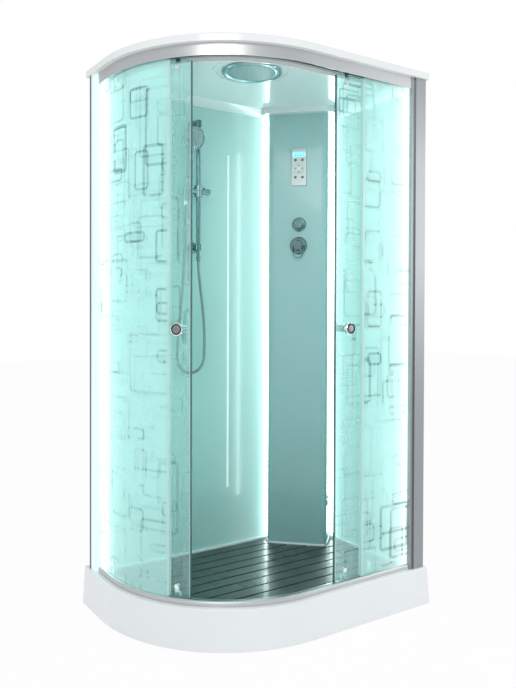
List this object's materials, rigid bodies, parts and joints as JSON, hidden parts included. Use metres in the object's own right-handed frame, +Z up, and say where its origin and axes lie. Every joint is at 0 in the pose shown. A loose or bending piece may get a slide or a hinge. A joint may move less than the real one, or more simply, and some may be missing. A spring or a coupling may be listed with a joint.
{
  "type": "steam shower cabin",
  "caption": "Free-standing corner steam shower cabin with a rounded glass front, sliding doors, wet-area column, riser shower, rain head, lit walls and slatted floor.",
  "frame": {"origin": "middle of the plan's bounding box, on the floor", "axes": "+Z up, +X along the long back wall towards the short side wall, +Y from the open front to the back wall"},
  "size_m": [1.2, 0.8, 2.2],
  "materials": {
    "tray_acrylic": "glossy white acrylic",
    "frame_steel": "galvanised and painted",
    "foot_rubber": "moulded",
    "waste_plastic": "moulded",
    "bright_chrome": "polished",
    "floor_slats": "dark grey green, wet look",
    "rail_metal": "satin anodised",
    "clear_glass": "printed safety glass",
    "seal_plastic": "clear soft profile",
    "stop_rubber": "moulded",
    "wheel_nylon": "smooth",
    "wall_gloss": "back-painted, glossy",
    "column_gloss": "glossy",
    "light_opal": "lit opal cover",
    "panel_silver": "silver grey lacquer",
    "display_cyan": "lit display",
    "button_dark": "moulded keys",
    "box_grey": "moulded",
    "brass_body": "raw casting",
    "hose_silver": "wound hose",
    "roof_white": "glossy white acrylic",
    "pipe_grey": "flexible pipe",
    "boiler_case": "moulded case"
  },
  "bodies": {
    "cabin": {"shower_tray": "tray_acrylic", "support_frame": "frame_steel", "levelling_feet": "foot_rubber", "waste_trap": "waste_plastic", "bottom_rail": "rail_metal", "top_rail": "rail_metal", "left_wall_profile": "rail_metal", "right_wall_profile": "rail_metal", "left_fixed_glass": "clear_glass", "right_fixed_glass": "clear_glass", "fixed_glass_seals": "seal_plastic", "door_stops": "stop_rubber", "back_wall_panel": "wall_gloss", "side_wall_panel": "wall_gloss", "corner_column": "column_gloss", "light_strips": "light_opal", "control_panel": "panel_silver", "display_window": "display_cyan", "control_box": "box_grey", "valve_plates": "bright_chrome", "valve_body": "brass_body", "riser_rail": "bright_chrome", "riser_brackets": "bright_chrome", "roof_panel": "roof_white", "rain_head": "bright_chrome", "steam_generator": "boiler_case", "steam_nozzle": "bright_chrome", "feed_pipes": "pipe_grey", "shower_hose": "hose_silver"},
    "left_door": {"left_door_glass": "clear_glass", "left_door_seals": "seal_plastic", "left_door_knob": "bright_chrome", "left_roller_carriers": "bright_chrome"},
    "right_door": {"right_door_glass": "clear_glass", "right_door_seals": "seal_plastic", "right_door_knob": "bright_chrome", "right_roller_carriers": "bright_chrome"},
    "floor": {"floor_grid": "floor_slats"},
    "strainer": {"drain_cover": "bright_chrome"},
    "diverter": {"diverter_knob": "bright_chrome"},
    "mixer": {"mixer_cap": "bright_chrome"},
    "lever": {"mixer_lever": "bright_chrome"},
    "slider": {"rail_slider": "bright_chrome"},
    "slider_release": {"slider_button": "button_dark"},
    "holder": {"handset_holder": "bright_chrome"},
    "handset": {"hand_shower": "bright_chrome", "handset_nut": "bright_chrome"},
    "left_top_lead_wheel": {"left_top_lead_wheel": "wheel_nylon"},
    "left_top_trail_wheel": {"left_top_trail_wheel": "wheel_nylon"},
    "left_bottom_lead_wheel": {"left_bottom_lead_wheel": "wheel_nylon"},
    "left_bottom_trail_wheel": {"left_bottom_trail_wheel": "wheel_nylon"},
    "right_top_lead_wheel": {"right_top_lead_wheel": "wheel_nylon"},
    "right_top_trail_wheel": {"right_top_trail_wheel": "wheel_nylon"},
    "right_bottom_lead_wheel": {"right_bottom_lead_wheel": "wheel_nylon"},
    "right_bottom_trail_wheel": {"right_bottom_trail_wheel": "wheel_nylon"},
    "button_upper_left_key": {"button_upper_left": "button_dark"},
    "button_upper_right_key": {"button_upper_right": "button_dark"},
    "button_lower_left_key": {"button_lower_left": "button_dark"},
    "button_lower_right_key": {"button_lower_right": "button_dark"},
    "arrow_pad_key": {"arrow_pad": "button_dark"}
  },
  "joints": [
    {"name": "left_door_slide", "type": "hinge", "parent": "cabin", "child": "left_door", "pos_m": [-0.01, 0.19, 0.16], "axis": [0, 0, 1], "range_deg": [0, 47.2]},
    {"name": "right_door_slide", "type": "slide", "parent": "cabin", "child": "right_door", "axis": [1, 0, 0], "range_m": [-0.1387, 0.045]},
    {"name": "left_top_lead_wheel_spin", "type": "hinge", "parent": "left_door", "child": "left_top_lead_wheel", "pos_m": [-0.42622, -0.11836, 2.1533], "axis": [0.8035, 0.5953, 0], "range_deg": [-1, 2040]},
    {"name": "left_top_trail_wheel_spin", "type": "hinge", "parent": "left_door", "child": "left_top_trail_wheel", "pos_m": [-0.52649, 0.22952, 2.1533], "axis": [0.9971, -0.0763, 0], "range_deg": [-1, 2040]},
    {"name": "right_top_lead_wheel_spin", "type": "hinge", "parent": "right_door", "child": "right_top_lead_wheel", "pos_m": [0.187, -0.328, 2.1533], "axis": [0, 1, 0], "range_deg": [-663, 216]},
    {"name": "right_top_trail_wheel_spin", "type": "hinge", "parent": "right_door", "child": "right_top_trail_wheel", "pos_m": [0.3167, -0.328, 2.1533], "axis": [0, 1, 0], "range_deg": [-663, 216]},
    {"name": "left_bottom_lead_wheel_spin", "type": "hinge", "parent": "left_door", "child": "left_bottom_lead_wheel", "pos_m": [-0.42622, -0.11836, 0.1723], "axis": [0.8035, 0.5953, 0], "range_deg": [-1, 2040]},
    {"name": "left_bottom_trail_wheel_spin", "type": "hinge", "parent": "left_door", "child": "left_bottom_trail_wheel", "pos_m": [-0.52649, 0.22952, 0.1723], "axis": [0.9971, -0.0763, 0], "range_deg": [-1, 2040]},
    {"name": "right_bottom_lead_wheel_spin", "type": "hinge", "parent": "right_door", "child": "right_bottom_lead_wheel", "pos_m": [0.187, -0.328, 0.1723], "axis": [0, 1, 0], "range_deg": [-663, 216]},
    {"name": "right_bottom_trail_wheel_spin", "type": "hinge", "parent": "right_door", "child": "right_bottom_trail_wheel", "pos_m": [0.3167, -0.328, 0.1723], "axis": [0, 1, 0], "range_deg": [-663, 216]},
    {"name": "floor_lift", "type": "slide", "parent": "cabin", "child": "floor", "axis": [0, 0, 1], "range_m": [0, 0.15]},
    {"name": "strainer_lift", "type": "slide", "parent": "cabin", "child": "strainer", "axis": [0, 0, 1], "range_m": [0, 0.01]},
    {"name": "button_upper_left_push", "type": "slide", "parent": "cabin", "child": "button_upper_left_key", "axis": [0.7071, 0.7071, 0], "range_m": [0, 0.0012], "stiffness_N_per_m": 500},
    {"name": "button_upper_right_push", "type": "slide", "parent": "cabin", "child": "button_upper_right_key", "axis": [0.7071, 0.7071, 0], "range_m": [0, 0.0012], "stiffness_N_per_m": 500},
    {"name": "button_lower_left_push", "type": "slide", "parent": "cabin", "child": "button_lower_left_key", "axis": [0.7071, 0.7071, 0], "range_m": [0, 0.0012], "stiffness_N_per_m": 500},
    {"name": "button_lower_right_push", "type": "slide", "parent": "cabin", "child": "button_lower_right_key", "axis": [0.7071, 0.7071, 0], "range_m": [0, 0.0012], "stiffness_N_per_m": 500},
    {"name": "arrow_pad_push", "type": "slide", "parent": "cabin", "child": "arrow_pad_key", "axis": [0.7071, 0.7071, 0], "range_m": [0, 0.0012], "stiffness_N_per_m": 500},
    {"name": "diverter_turn", "type": "hinge", "parent": "cabin", "child": "diverter", "pos_m": [0.34022, 0.17049, 1.6136], "axis": [-0.7071, -0.7071, 0], "range_deg": [-90, 90]},
    {"name": "mixer_turn", "type": "hinge", "parent": "cabin", "child": "mixer", "pos_m": [0.33881, 0.17191, 1.516], "axis": [-0.7071, -0.7071, 0], "range_deg": [-50, 50]},
    {"name": "mixer_lever_tilt", "type": "hinge", "parent": "mixer", "child": "lever", "pos_m": [0.33711, 0.17021, 1.516], "axis": [-0.7071, 0.7071, 0], "range_deg": [0, 25]},
    {"name": "slider_height", "type": "slide", "parent": "cabin", "child": "slider", "axis": [0, 0, 1], "range_m": [-0.17, 0.07], "deforming": ["shower_hose"]},
    {"name": "slider_button_push", "type": "slide", "parent": "slider", "child": "slider_release", "axis": [0, 0, -1], "range_m": [0, 0.0025], "stiffness_N_per_m": 400},
    {"name": "holder_tilt", "type": "hinge", "parent": "slider", "child": "holder", "pos_m": [-0.166, 0.305, 1.739], "axis": [1, 0, 0], "range_deg": [-10, 25], "deforming": ["shower_hose"]},
    {"name": "handset_lift", "type": "slide", "parent": "holder", "child": "handset", "axis": [0, -0.2504, 0.9681], "range_m": [0, 0.05], "deforming": ["shower_hose"]}
  ],
  "couplings": [
    {"joint": "left_top_lead_wheel_spin", "follows": "left_door_slide", "ratio": 43.167},
    {"joint": "left_top_trail_wheel_spin", "follows": "left_door_slide", "ratio": 43.167},
    {"joint": "right_top_lead_wheel_spin", "follows": "right_door_slide", "rad_per_m": 83.333},
    {"joint": "right_top_trail_wheel_spin", "follows": "right_door_slide", "rad_per_m": 83.333},
    {"joint": "left_bottom_lead_wheel_spin", "follows": "left_door_slide", "ratio": 43.167},
    {"joint": "left_bottom_trail_wheel_spin", "follows": "left_door_slide", "ratio": 43.167},
    {"joint": "right_bottom_lead_wheel_spin", "follows": "right_door_slide", "rad_per_m": 83.333},
    {"joint": "right_bottom_trail_wheel_spin", "follows": "right_door_slide", "rad_per_m": 83.333}
  ]
}
